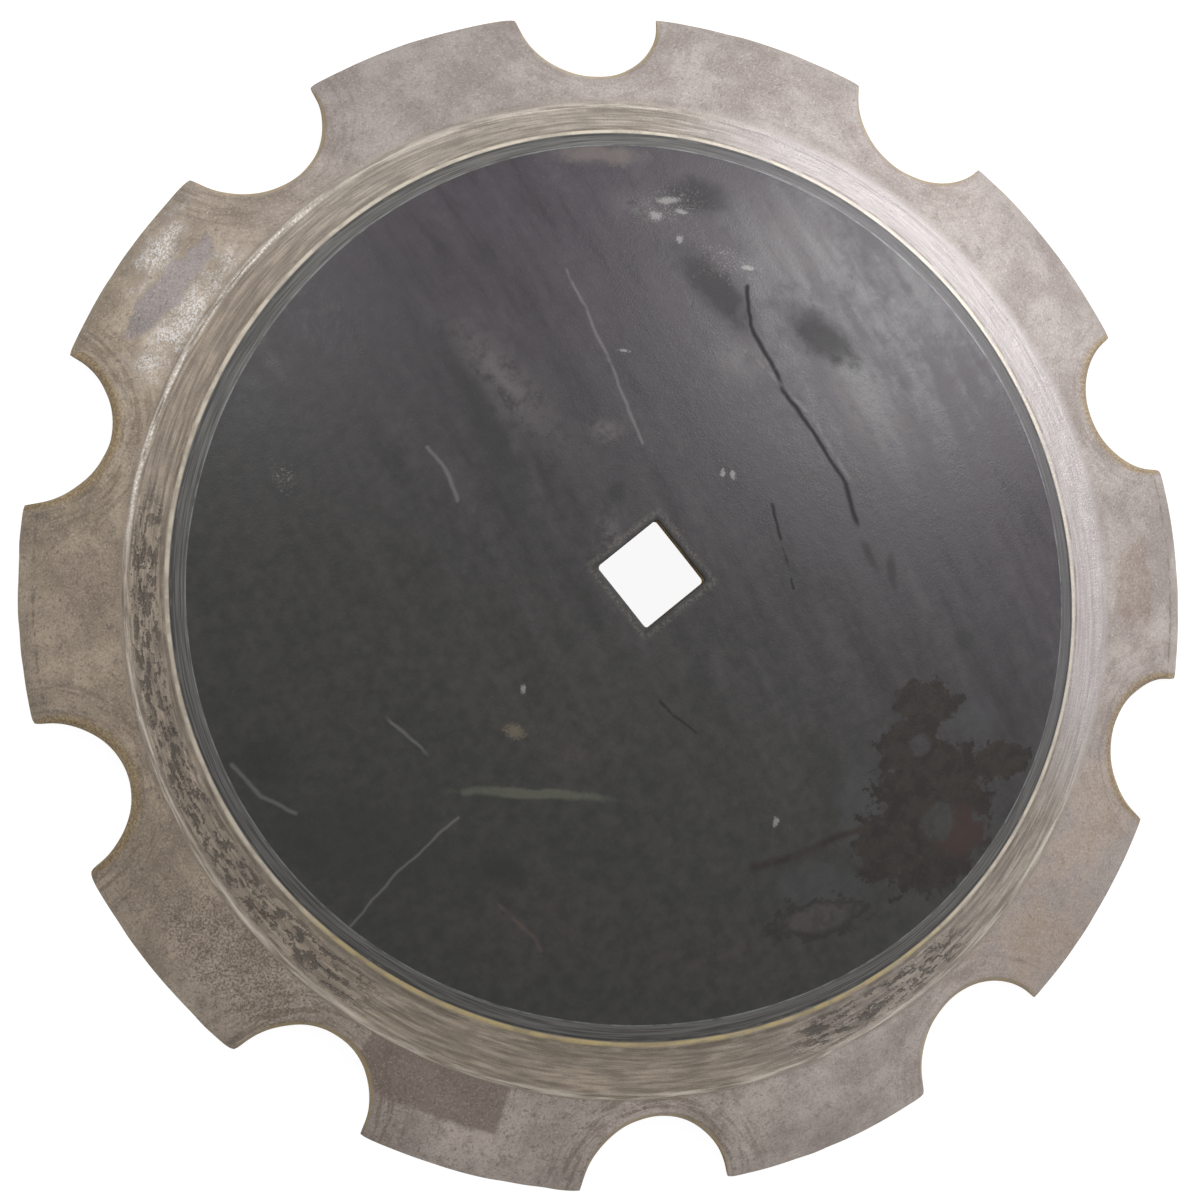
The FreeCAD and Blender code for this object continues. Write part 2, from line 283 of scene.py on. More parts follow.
def ring_reach(azimuth, nominal):
    """Reach of the rings: the nominal reach, moved by each landmark's wander, in straight
    stretches between the landmarks, and by nothing at both ends."""
    landmarks = (RINGS_START, PLATE_EDGE, STEP_FOOT, RIDGE, RINGS_END)
    moves = (0 * azimuth,
             wander(azimuth, PLATE_EDGE_WAVES),
             wander(azimuth, STEP_FOOT_WAVES),
             wander(azimuth, RIDGE_WAVES),
             0 * azimuth)
    moved = np.zeros((len(nominal), len(azimuth)))
    for left, right, at_left, at_right in zip(landmarks, landmarks[1:], moves, moves[1:]):
        share = (nominal - left) / (right - left)
        inside = (share >= 0) & (share <= 1)
        share = share[inside, None]
        moved[inside] = nominal[inside, None] + at_left + share * (at_right - at_left)
    return moved


def ring_relief(azimuth, reach, nominal):
    """Height above the worn sphere: the plate's full wear depth, falling to nothing down the
    step, then the hollowed band's shallow arc 4t(1 - t), a crest at the ridge, and the grooves,
    lumps and pits of the band, which the bright side doesn't have."""
    level = np.broadcast_to(nominal[:, None], reach.shape)
    turn = np.broadcast_to(azimuth, reach.shape)
    bright = turn_share(turn, *BRIGHT_SIDE)
    pitted = np.maximum(turn_share(turn, *PITTED_SIDE), turn_share(turn, *PITTED_SPOT))
    crested = np.maximum(turn_share(turn, *CREST_GLINT_SIDE), turn_share(turn, *PITTED_SIDE))

    plate = dome(OUTER_SPHERE, reach) - dome(WORN_SPHERE, reach)
    step = 1.0 - smooth(level, PLATE_EDGE - 0.6, STEP_FOOT)
    across = np.clip((level - STEP_FOOT) / (RIDGE - STEP_FOOT), 0.0, 1.0)
    hollow = -HOLLOW_DEPTH * 4 * across * (1 - across)
    crest = (0.2 + 0.35 * crested) * np.exp(-((level - RIDGE) / 2.4) ** 2)
    band = smooth(level, STEP_FOOT, STEP_FOOT + 3) * (1 - smooth(level, RIDGE - 2, RIDGE + 5))
    grooves = 0.16 * lattice_noise(SEED["grooves"], turn, level, 70, 1.6)
    lumps = 0.2 * lattice_noise(SEED["lumps"], turn, level, 150, 5.0)
    pits = np.maximum(lattice_noise(SEED["pits"], turn, level, 260, 2.6) - 0.4, 0.0)
    worn = (0.12 + 0.88 * (1 - bright)) * (grooves + lumps) - (0.15 + 1.5 * pitted) * pits
    nicks = 0.12 * lattice_noise(SEED["nicks"], turn, level, 60, 9.0)
    edge = np.exp(-((level - PLATE_EDGE) / 1.5) ** 2)
    return plate * step + hollow + crest + band * worn + edge * nicks


def rim_gap(points, notch):
    """How far plan points are from the edge of the steel: from the notch's arc, and from the
    tooth's arc."""
    centre = polar(notch["centre"], notch["azimuth"])
    from_notch = np.linalg.norm(points - centre, axis=-1) - notch["radius"]
    from_tooth = tooth_reach(notch) - np.linalg.norm(points, axis=-1)
    return from_notch, from_tooth


def tooth_reach(notch):
    """The reach of the tooth that each column is nearest to."""
    return np.where(notch["place"] < 0.5, notch["before"], notch["after"])


def rim_points(outline, inner, gaps):
    """Rows from the inner circle out to the outline, which keep to these distances from the
    outline where there is room, and share the room evenly where there isn't."""
    inward = inner - outline
    room = np.linalg.norm(inward, axis=-1)
    even = np.linspace(0.0, 1.0, len(gaps))[:, None] * room
    distance = np.minimum(np.array(gaps)[:, None], even)
    distance[-1] = room
    return outline + inward * (distance / room)[..., None]


def rim_height(points, notch, azimuth):
    """Height of the worn rim: the worn sphere, less the notch's worn-off edge, and never above
    the sharpening bevel, which rises inwards from the land at the cutting edge."""
    reach = np.linalg.norm(points, axis=-1)
    from_notch, _ = rim_gap(points, notch)
    tooth = tooth_reach(notch)
    width = BEVEL_WIDTH + 0.8 * lattice_noise(SEED["heel"], azimuth, np.zeros(COLUMNS), 60, 1.0)
    heel = tooth - width
    foot = dome(INNER_SPHERE, tooth) + EDGE_LAND
    bevel = foot + (tooth - reach) * (dome(WORN_SPHERE, heel) - foot) / width
    chamfer = np.maximum(NOTCH_CHAMFER - np.maximum(from_notch, 0.0), 0.0)
    turn = np.broadcast_to(azimuth, reach.shape)
    dents = 0.12 * lattice_noise(SEED["dents"], turn, reach, 110, 7.0)
    sharp = sum(turn_share(azimuth, *tooth_side) for tooth_side in SHARP_HEELS)
    softness = HEEL_SOFTNESS + sharp * (SHARP_HEEL_SOFTNESS - HEEL_SOFTNESS)
    return soft_lowest(dome(WORN_SPHERE, reach) + dents - chamfer, bevel, softness)


def blade_grid():
    """The blade's points, row by row, with each row's nominal reach, each point's distances from
    the notch and from the tooth's edge, and the number of rows on the crown side and the wall."""
    azimuth = columns()
    notch = notch_values()
    outline = worn_outline(notch, azimuth)

    hole = hole_rows(azimuth, HOLE_SHARES)
    plate = np.linspace(HOLE_BLEND_END, RINGS_START, 12)[:-1, None] + 0 * azimuth
    nominal = np.concatenate([
        np.linspace(RINGS_START, PLATE_EDGE - 3, 5)[:-1],
        np.linspace(PLATE_EDGE - 3, STEP_FOOT + 2, 16)[:-1],
        np.linspace(STEP_FOOT + 2, RINGS_END, 24)])
    rings = ring_reach(azimuth, nominal)

    reach = np.concatenate([hole, plate])
    height = dome(OUTER_SPHERE, reach)
    height[0] -= HOLE_EDGE_DROP[0]
    height[1] -= HOLE_EDGE_DROP[1]
    ring_height = dome(WORN_SPHERE, rings) + ring_relief(azimuth, rings, nominal)
    reach = np.concatenate([reach, rings])
    height = np.concatenate([height, ring_height])
    middle = np.concatenate([polar(reach, azimuth), height[..., None]], axis=-1)

    inner = polar(RINGS_END + 0 * azimuth, azimuth)
    rim = rim_points(outline, inner, CROWN_GAPS)[::-1][1:]
    rim_top = rim_height(rim, notch, azimuth)
    crown = np.concatenate([middle, np.concatenate([rim, rim_top[..., None]], axis=-1)])

    edge_reach = np.linalg.norm(outline, axis=-1)
    edge_low = dome(INNER_SPHERE, edge_reach)
    edge_top = crown[-1, :, 2]
    wall = [np.column_stack([outline, edge_top + share * (edge_low - edge_top)])
            for share in WALL_SHARES]

    under_rim = rim_points(outline, inner, HOLLOW_GAPS)
    under_reach = np.concatenate([
        np.linspace(RINGS_END, HOLE_BLEND_END, 10)[1:, None] + 0 * azimuth,
        hole_rows(azimuth, UNDER_HOLE_SHARES)])
    under_plan = np.concatenate([under_rim, polar(under_reach, azimuth)])
    under_height = dome(INNER_SPHERE, np.linalg.norm(under_plan, axis=-1))
    under = np.concatenate([under_plan, under_height[..., None]], axis=-1)

    rows = np.concatenate([crown, np.array(wall), under])
    level = np.concatenate([reach[:len(hole) + len(plate)].mean(axis=1), nominal,
                            np.full(len(rows) - len(middle), RINGS_END + 1)])
    gaps = rim_gap(rows[..., :2], notch)
    return rows, level, gaps, len(crown), len(wall)


def closed_mesh(name, rows):
    """A mesh whose faces join each grid point to the next row and column, both closed round, so
    that it has neither seam nor pole."""
    count_down, count_round, _ = rows.shape
    index = np.arange(count_down * count_round).reshape(count_down, count_round)
    down = np.roll(index, -1, axis=0)
    faces = np.stack([index, down, np.roll(down, -1, axis=1), np.roll(index, -1, axis=1)], axis=-1)
    mesh = bpy.data.meshes.new(name)
    mesh.from_pydata((rows.reshape(-1, 3) * MM).tolist(), [], faces.reshape(-1, 4).tolist())
    return mesh


def add_attribute(mesh, name, values):
    """Gives every vertex a number that the finish reads."""
    attribute = mesh.attributes.new(name, "FLOAT", "POINT")
    attribute.data.foreach_set("value", np.ascontiguousarray(values, np.float32).ravel())


class Nodes:
    """Adds nodes to one tree. A socket's value is a number, a vector, a colour or an output."""

    def __init__(self, tree):
        self.tree = tree

    def add(self, kind, values=None, **settings):
        node = self.tree.nodes.new(kind)
        for name, value in settings.items():
            setattr(node, name, value)
        for name, value in (values or {}).items():
            if isinstance(value, bpy.types.NodeSocket):
                self.join(value, node.inputs[name])
            else:
                node.inputs[name].default_value = value
        return node

    def join(self, output, socket):
        self.tree.links.new(output, socket)

    def math(self, operation, first, second=0.0):
        return self.add("ShaderNodeMath", {0: first, 1: second}, operation=operation).outputs[0]

    def chain(self, operation, values):
        """The operation on the first two values, then on its result and the next."""
        result = values[0]
        for value in values[1:]:
            result = self.math(operation, result, value)
        return result

    def times(self, *values):
        return self.chain("MULTIPLY", values)

    def plus(self, *values):
        return self.chain("ADD", values)

    def least(self, first, second):
        return self.math("MINIMUM", first, second)

    def most(self, *values):
        return self.chain("MAXIMUM", values)

    def rest(self, value):
        return self.math("SUBTRACT", 1.0, value)

    def vector(self, operation, first, second=(0.0, 0.0, 0.0), output="Vector"):
        node = self.add("ShaderNodeVectorMath", {0: first, 1: second}, operation=operation)
        return node.outputs[output]

    def flat(self, vector):
        """The vector without its height."""
        return self.vector("MULTIPLY", vector, (1.0, 1.0, 0.0))

    def scaled(self, vector, scale):
        node = self.add("ShaderNodeVectorMath", {0: vector, "Scale": scale}, operation="SCALE")
        return node.outputs["Vector"]

    def rise(self, value, low, high):
        """Smooth step from 0 at low to 1 at high."""
        node = self.add("ShaderNodeMapRange", {"Value": value, "From Min": low, "From Max": high},
                        interpolation_type="SMOOTHSTEP")
        return node.outputs["Result"]

    def fall(self, value, low, high):
        """Smooth step from 1 at low to 0 at high."""
        return self.rest(self.rise(value, low, high))

    def window(self, value, low, high, soft):
        """1 between low and high, with soft ends."""
        return self.times(self.rise(value, low - soft, low + soft),
                          self.fall(value, high - soft, high + soft))

    def noise(self, vector, scale, detail=3.0, roughness=0.55):
        node = self.add("ShaderNodeTexNoise", {"Vector": vector, "Scale": scale,
                                               "Detail": detail, "Roughness": roughness})
        return node.outputs["Fac"]

    def blend(self, factor, first, second):
        """Mix of two colours."""
        node = self.add("ShaderNodeMix", {0: factor, 6: first, 7: second}, data_type="RGBA")
        return node.outputs[2]

    def shade(self, value, low, high, first, second):
        """Smooth step from one tone at low to another at high."""
        return self.blend(self.rise(value, low, high), tone(*first), tone(*second))

    def between(self, factor, first, second):
        """Mix of two numbers."""
        node = self.add("ShaderNodeMix", {0: factor, 2: first, 3: second}, data_type="FLOAT")
        return node.outputs[0]


def tone(red, green, blue):
    """A colour given by its shares of 255 as it is seen."""
    def straight(value):
        value /= 255
        return value / 12.92 if value <= 0.04045 else ((value + 0.055) / 1.055) ** 2.4
    return (straight(red), straight(green), straight(blue), 1.0)


def new_group(name, output, inputs):
    """An empty node group with these inputs by name, a vector where the default is a tuple and
    a number otherwise, and one number as its output."""
    group = bpy.data.node_groups.new(name, "ShaderNodeTree")
    for socket, default in inputs.items():
        kind = "NodeSocketVector" if isinstance(default, tuple) else "NodeSocketFloat"
        made = group.interface.new_socket(socket, in_out="INPUT", socket_type=kind)
        made.default_value = default
    group.interface.new_socket(output, in_out="OUTPUT", socket_type="NodeSocketFloat")
    nodes = Nodes(group)
    entry = nodes.add("NodeGroupInput").outputs
    return nodes, entry, nodes.add("NodeGroupOutput").inputs[output]


def make_ring_grain():
    """Noise drawn out round the axis: its place is the direction from the axis times Around, and
    the level times Across, so that it closes on itself."""
    nodes, entry, leave = new_group("Ring Grain", "Grain", {
        "Place": (0, 0, 0), "Level": 0.0, "Around": 30.0, "Across": 0.5, "Detail": 3.0})
    flat = nodes.flat(entry["Place"])
    around = nodes.scaled(nodes.vector("NORMALIZE", flat), entry["Around"])
    across = nodes.times(entry["Level"], entry["Across"])
    height = nodes.add("ShaderNodeCombineXYZ", {"Z": across}).outputs[0]
    grain = nodes.noise(nodes.vector("ADD", around, height), 1.0, entry["Detail"])
    nodes.join(grain, leave)
    return nodes.tree


def make_blotch():
    """An uneven patch: 1 inside an ellipse about Centre, with half lengths Half Size along and
    across the direction Turn. Ragged moves its edge in and out by a noise."""
    nodes, entry, leave = new_group("Blotch", "Mask", {
        "Place": (0, 0, 0), "Centre": (0, 0, 0), "Half Size": (10, 10, 1), "Turn": 0.0,
        "Ragged": 0.3, "Grain": 0.5, "Soft": 0.2})
    centred = nodes.vector("SUBTRACT", entry["Place"], entry["Centre"])
    turned = nodes.add("ShaderNodeVectorRotate", {"Vector": centred, "Angle": entry["Turn"]},
                       rotation_type="Z_AXIS", invert=True).outputs[0]
    shares = nodes.vector("DIVIDE", nodes.flat(turned), entry["Half Size"])
    away = nodes.vector("LENGTH", shares, output="Value")
    shift = nodes.times(nodes.math("SUBTRACT", entry["Grain"], 0.5), entry["Ragged"])
    edge = nodes.plus(away, nodes.times(shift, 2.0))
    mask = nodes.fall(edge, nodes.rest(entry["Soft"]), nodes.plus(entry["Soft"], 1.0))
    nodes.join(mask, leave)
    return nodes.tree


def make_scratch():
    """A thin mark from Start to End: 1 on the line, falling to 0 at Width from it, fainter towards
    its ends where Taper is 1, and broken where Grain is low."""
    nodes, entry, leave = new_group("Scratch", "Mask", {
        "Place": (0, 0, 0), "Start": (0, 0, 0), "End": (10, 0, 0), "Width": 0.6,
        "Grain": 0.5, "Broken": 0.3, "Taper": 1.0})
    flat = nodes.flat(entry["Place"])
    offset = nodes.vector("SUBTRACT", flat, entry["Start"])
    whole = nodes.vector("SUBTRACT", entry["End"], entry["Start"])
    along = nodes.math("DIVIDE", nodes.vector("DOT_PRODUCT", offset, whole, output="Value"),
                       nodes.vector("DOT_PRODUCT", whole, whole, output="Value"))
    held = nodes.math("MAXIMUM", nodes.least(along, 1.0), 0.0)
    aside = nodes.vector("DISTANCE", offset, nodes.scaled(whole, held), output="Value")
    line = nodes.fall(aside, 0.0, entry["Width"])
    taper = nodes.times(nodes.rise(along, -0.02, 0.2), nodes.fall(along, 0.8, 1.02))
    worn = nodes.rise(entry["Grain"], nodes.math("SUBTRACT", entry["Broken"], 0.1),
                      nodes.plus(entry["Broken"], 0.15))
    mask = nodes.times(line, nodes.between(entry["Taper"], 1.0, taper), worn)
    nodes.join(mask, leave)
    return nodes.tree


def make_sector():
    """A share of the turn: 1 within Half of the direction Towards, seen from the axis, falling to
    0 over Soft. Half and Soft are in radians, and the angle is the arc cosine of the product."""
    nodes, entry, leave = new_group("Sector", "Mask", {
        "Place": (0, 0, 0), "Towards": (1, 0, 0), "Half": 0.5, "Soft": 0.2})
    unit = nodes.vector("NORMALIZE", nodes.flat(entry["Place"]))
    product = nodes.vector("DOT_PRODUCT", unit, entry["Towards"], output="Value")
    angle = nodes.math("ARCCOSINE", product)
    mask = nodes.fall(angle, entry["Half"], nodes.plus(entry["Half"], entry["Soft"]))
    nodes.join(mask, leave)
    return nodes.tree


RING_GRAIN = make_ring_grain()
BLOTCH = make_blotch()
SCRATCH = make_scratch()
SECTOR = make_sector()


def group_output(nodes, group, values):
    """Places a node group with these values and gives its output."""
    return nodes.add("ShaderNodeGroup", values, node_tree=group).outputs[0]


def new_material(name):
    """A material with its nodes and its shader."""
    material = bpy.data.materials.new(name)
    material.use_nodes = True
    nodes = Nodes(material.node_tree)
    shader = next(n for n in material.node_tree.nodes if n.type == "BSDF_PRINCIPLED")
    return material, nodes, shader


def object_place(nodes):
    """The place on the object, in millimetres."""
    return nodes.scaled(nodes.add("ShaderNodeTexCoord").outputs["Object"], 1 / MM)


def attribute(nodes, name):
    """A number that the mesh holds for each vertex."""
    return nodes.add("ShaderNodeAttribute", attribute_name=name).outputs["Fac"]


def ring_grain(nodes, place, level, around, across, detail=3.0):
    """Grain drawn out round the axis: this many cells in a radian, and in a millimetre across."""
    return group_output(nodes, RING_GRAIN, {"Place": place, "Level": level, "Around": around,
                                            "Across": across, "Detail": detail})


def sector(nodes, place, azimuth, half, soft):
    """Mask of the part of a turn about this azimuth, in degrees."""
    direction = math.radians(azimuth)
    return group_output(nodes, SECTOR, {
        "Place": place, "Towards": (math.cos(direction), math.sin(direction), 0.0),
        "Half": math.radians(half), "Soft": math.radians(soft)})


def at(reach, azimuth):
    """Plan place of a mark."""
    around = math.radians(azimuth)
    return (reach * math.cos(around), reach * math.sin(around), 0.0)


def patch(nodes, place, grain, mark, ragged=0.5, soft=0.2):
    """Mask of one uneven patch: (reach, azimuth), (half length, half width), turn."""
    centre, half, turn = mark
    return group_output(nodes, BLOTCH, {
        "Place": place, "Grain": grain, "Centre": at(*centre), "Half Size": (*half, 1.0),
        "Turn": math.radians(turn), "Ragged": ragged, "Soft": soft})


def patches(nodes, place, grain, marks, ragged=0.5, soft=0.2):
    """Mask of all these patches together."""
    return nodes.most(*(patch(nodes, place, grain, mark, ragged, soft) for mark in marks))


def scratch(nodes, place, grain, points, width, broken=0.3):
    """Mask of a bent scratch through these places. A single stroke fades at its ends."""
    taper = 1.0 if len(points) == 2 else 0.0
    return nodes.most(*(group_output(nodes, SCRATCH, {
        "Place": place, "Grain": grain, "Start": at(*start), "End": at(*end), "Width": width,
        "Broken": broken, "Taper": taper}) for start, end in zip(points, points[1:])))


def scratches(nodes, place, grain, marks):
    """Mask of all these scratches together."""
    return nodes.most(*(scratch(nodes, place, grain, *mark) for mark in marks))


class Coat:
    """A colour over which paints are laid, one after another."""

    def __init__(self, nodes, colour):
        self.nodes = nodes
        self.colour = colour

    def lay(self, paint, strength, *masks):
        """Lays a paint over the colour where all the masks are, this strongly. The paint is a
        tone's three shares of 255, or an output."""
        paint = tone(*paint) if isinstance(paint, tuple) else paint
        share = self.nodes.times(*masks, strength)
        self.colour = self.nodes.blend(share, self.colour, paint)


# Marks that set this blade apart, in places (reach, azimuth). A patch also has its half length
# and half width, and the direction of its length. A scratch is drawn through several places, and
# has its half width and how broken it is.
OIL_STAIN = (
    ((156, 298), (18, 12), -38), ((160, 289), (17, 18), -38), ((182, 286), (31, 28), -38),
    ((207, 296), (17, 10), -35), ((182, 274), (19, 18), -38), ((205, 280), (28, 18), -12),
)
OIL_GAPS = (((194, 283), (10, 9), 0), ((163, 291), (6, 5), 0))
OIL_ARM = (((166, 274), (160, 267), (157, 260), (152, 252)), 3.5, 0.2)
RED_OIL = ((206, 284), (15, 12), -38)
OIL_HALO = (((158, 275), (12, 24), -30), ((178, 262), (24, 12), -38), ((185, 299), (15, 10), -38))
OVAL_STAIN = ((190, 259), (24, 10), -28)
OVAL_INSIDE = ((190, 259), (18, 7), -28)
SOIL_FILM = ((190, 185), (46, 20), -48)
BROWN_FILMS = (
    ((88, 208), (19, 21), -38), ((105, 187), (8, 4), -72), ((180, 214), (36, 20), -38),
    ((190, 243), (50, 18), -42),
)
TAN_EDGE = ((219, 56), (20, 5), -43)
TAN_SPOT = ((102, 190), (4, 3), -65)
PALE_SMEARS = (
    ((120, 27), (14, 10), -45), ((192, 26), (30, 22), -78), ((145, -3), (34, 16), -90),
    ((28, 100), (6, 12), -20), ((75, 68), (8, 6), -38), ((118, 88), (38, 10), -95),
    ((187, 50), (16, 9), -60),
)
DARK_SMUDGES = (
    ((200, 42), (15, 9), -42), ((152, 37), (24, 9), -88), ((168, -49), (6, 8), 0),
    ((45, 75), (5, 6), -30), ((160, 205), (12, 6), -38), ((208, 167), (12, 13), -38),
    ((110, 98), (48, 8), -104), ((155, 14), (18, 9), -70), ((114, -33), (9, 2.5), -98),
    ((126, -37), (10, 2.5), -112),
)
PALE_SPECKS = (
    ((195, 46), (5.5, 1.5), -30), ((190, 44), (3, 1.2), -40), ((185, 48), (3, 2.2), -40),
    ((175, 44), (2, 1.5), 0), ((168, 32), (3, 1.2), -40), ((112, 57), (2.5, 0.8), -45),
    ((63, 14), (1.2, 1.5), -38), ((66, 10), (1.4, 1.7), -38), ((85, 183), (1, 2), -38),
    ((137, 259), (1.5, 2), -38),
)
PALE_HAZES = (((193, 46), (16, 8), -32), ((185, 126), (4, 6), -20), ((168, 36), (12, 9), -60))
PALE_SCRATCHES = (
    (((158, 65), (110, 61), (65, 55)), 1.4, 0.35),
    (((125, 111), (112, 114), (100, 121)), 1.8, 0.25),
    (((222, 191), (190, 191), (162, 192), (150, 193)), 1.2, 0.1),
    (((221, 166), (217, 171), (206, 175)), 1.8, 0.2),
    (((147, 169), (140, 181)), 1.5, 0.35),
    (((126, 27), (118, 5), (115, -13)), 1.8, 0.5),
)
REDDISH_SCRATCH = (((176, 207), (184, 214), (190, 216)), 1.6, 0.4)
LEAF_STREAK = ((122, 203), (34, 2.4), -43)
DARK_SCRATCHES = (
    (((158, 31), (140, 28), (118, 14), (112, 0), (112, -14)), 2.0, 0.3),
    (((112, -12), (111, -26)), 2.6, 0.15),
    (((72, -8), (68, -30), (73, -44)), 1.6, 0.4),
    (((62, 235), (70, 241), (80, 247)), 1.5, 0.35),
)
# The strokes in which the plate was wiped: their direction and the size of a smear.
WIPED = 80.0
SMEAR = (70.0, 14.0, 30.0)


def plate_colour(nodes, place, wandered, fine, medium):
    """The scaled plate: charcoal, smeared across in wiping strokes, with its films, stains and
    marks, and a lilac sheen painted in, rising towards the sheen lamp's side. Gives its colour and
    its roughness."""
    strokes = nodes.add("ShaderNodeMapping", {"Vector": place, "Scale": SMEAR,
                                              "Rotation": (0.0, 0.0, math.radians(WIPED))},
                        vector_type="TEXTURE").outputs[0]
    smears = nodes.noise(strokes, 1.0, 5.0, 0.62)
    across = nodes.add("ShaderNodeSeparateXYZ", {"Vector": place}).outputs
    wiped_and_sheen_side = nodes.rise(nodes.plus(across["X"], nodes.times(across["Y"], 0.5)), -120, 200)
    ragged = nodes.noise(place, 0.11, 6.0, 0.68)

    scale = nodes.shade(medium, 0.25, 0.75, (36, 36, 34), (50, 49, 46))
    coat = Coat(nodes, scale)
    # Painted sheen: a lighter lilac laid across the plate, rising towards the sheen lamp's side.
    coat.lay((55, 48, 56), 0.85, wiped_and_sheen_side)
    lift = nodes.times(nodes.rise(smears, 0.44, 0.76), nodes.rise(ragged, 0.36, 0.62),
                       nodes.between(wiped_and_sheen_side, 0.15, 0.6))
    coat.lay((76, 71, 74), 1.0, lift)
    sink = nodes.times(nodes.fall(smears, 0.3, 0.48), nodes.between(wiped_and_sheen_side, 0.25, 0.6))
    coat.lay((33, 33, 32), 1.0, sink)

    films = nodes.times(patches(nodes, place, ragged, BROWN_FILMS, 1.0, 0.5),
                        nodes.rise(medium, 0.3, 0.75))
    coat.lay((62, 53, 48), 0.4, films)
    tan_edge = patch(nodes, wandered, ragged, TAN_EDGE, 1.4, 0.7)
    coat.lay((118, 107, 102), 0.45, tan_edge)
    soil = patch(nodes, place, ragged, SOIL_FILM, 0.5, 0.25)
    coat.lay((36, 36, 30), 0.45, soil)
    smudges = patches(nodes, wandered, ragged, DARK_SMUDGES, 1.0, 0.6)
    coat.lay((31, 31, 30), 0.6, smudges)
    pale = patches(nodes, wandered, ragged, PALE_SMEARS, 1.1, 0.7)
    coat.lay((96, 91, 92), 0.6, pale, nodes.rise(ragged, 0.35, 0.65))
    haze = nodes.times(patches(nodes, wandered, ragged, PALE_HAZES, 1.2, 0.8),
                       nodes.rise(fine, 0.5, 0.7))
    coat.lay((150, 146, 142), 0.45, haze)
    spot = patch(nodes, wandered, fine, TAN_SPOT, 1.4, 0.6)
    coat.lay((114, 102, 84), 0.5, spot)

    halo = patches(nodes, place, ragged, OIL_HALO, 0.9, 0.4)
    coat.lay((64, 65, 68), 0.3, halo)
    stain = nodes.most(patches(nodes, place, ragged, OIL_STAIN, 1.0, 0.06),
                       scratch(nodes, wandered, ragged, *OIL_ARM))
    gaps = patches(nodes, place, ragged, OIL_GAPS, 0.9, 0.2)
    stain = nodes.times(stain, nodes.rest(gaps))
    dried = nodes.shade(ragged, 0.4, 0.6, (26, 21, 17), (40, 33, 28))
    oil = Coat(nodes, dried)
    oil.lay((54, 35, 30), 0.7, patch(nodes, place, ragged, RED_OIL, 0.9, 0.4))
    coat.lay(oil.colour, 0.95, stain)
    inside = patch(nodes, place, ragged, OVAL_INSIDE, 1.0, 0.2)
    rim = nodes.times(patch(nodes, place, ragged, OVAL_STAIN, 1.2, 0.1), nodes.rest(inside))
    coat.lay((30, 27, 24), 0.8, rim)
    coat.lay((80, 70, 70), 0.35, inside, nodes.rise(ragged, 0.4, 0.6))

    dark_lines = scratches(nodes, wandered, ragged, DARK_SCRATCHES)
    coat.lay((22, 23, 22), 0.85, dark_lines)
    coat.lay((128, 127, 124), 0.32, scratches(nodes, wandered, ragged, PALE_SCRATCHES))
    coat.lay((112, 92, 80), 0.2, scratch(nodes, wandered, ragged, *REDDISH_SCRATCH))
    leaf = patch(nodes, wandered, ragged, LEAF_STREAK, 0.7, 0.4)
    coat.lay((104, 105, 90), 0.38, leaf)
    specks = patches(nodes, wandered, fine, PALE_SPECKS, 1.8, 0.4)
    coat.lay((150, 147, 145), 0.55, specks)
    grit = nodes.rise(fine, 0.58, 0.8)
    coat.lay((96, 93, 92), nodes.between(wiped_and_sheen_side, 0.25, 0.5), grit)
    uneven = nodes.plus(nodes.times(smears, 0.6), nodes.times(ragged, 0.4))
    rough = nodes.between(nodes.rise(uneven, 0.36, 0.64), 0.38, 0.54)
    rough = nodes.between(stain, rough, 0.4)
    dull = nodes.most(dark_lines, nodes.times(smudges, 0.5))
    rough = nodes.between(dull, rough, 0.9)
    hole_marks(nodes, coat, place, fine, medium)
    return coat.colour, rough


def hole_marks(nodes, coat, place, fine, medium):
    """Lays a dark film and a pale ring of dust round the square hole, whose distance is the
    larger of |x| and |y| less half the side."""
    sides = nodes.add("ShaderNodeSeparateXYZ",
                      {"Vector": nodes.vector("ABSOLUTE", place)}).outputs
    gap = nodes.math("SUBTRACT", nodes.most(sides["X"], sides["Y"]), HOLE_SIDE / 2)
    gap = nodes.plus(gap, nodes.times(medium, 2.0))
    dust = nodes.times(nodes.window(gap, 3.0, 5.5, 1.2), nodes.rise(fine, 0.4, 0.6))
    coat.lay((112, 108, 98), 0.35, dust)
    film = nodes.fall(gap, 0.9, 2.6)
    coat.lay((32, 30, 26), 0.7, film)


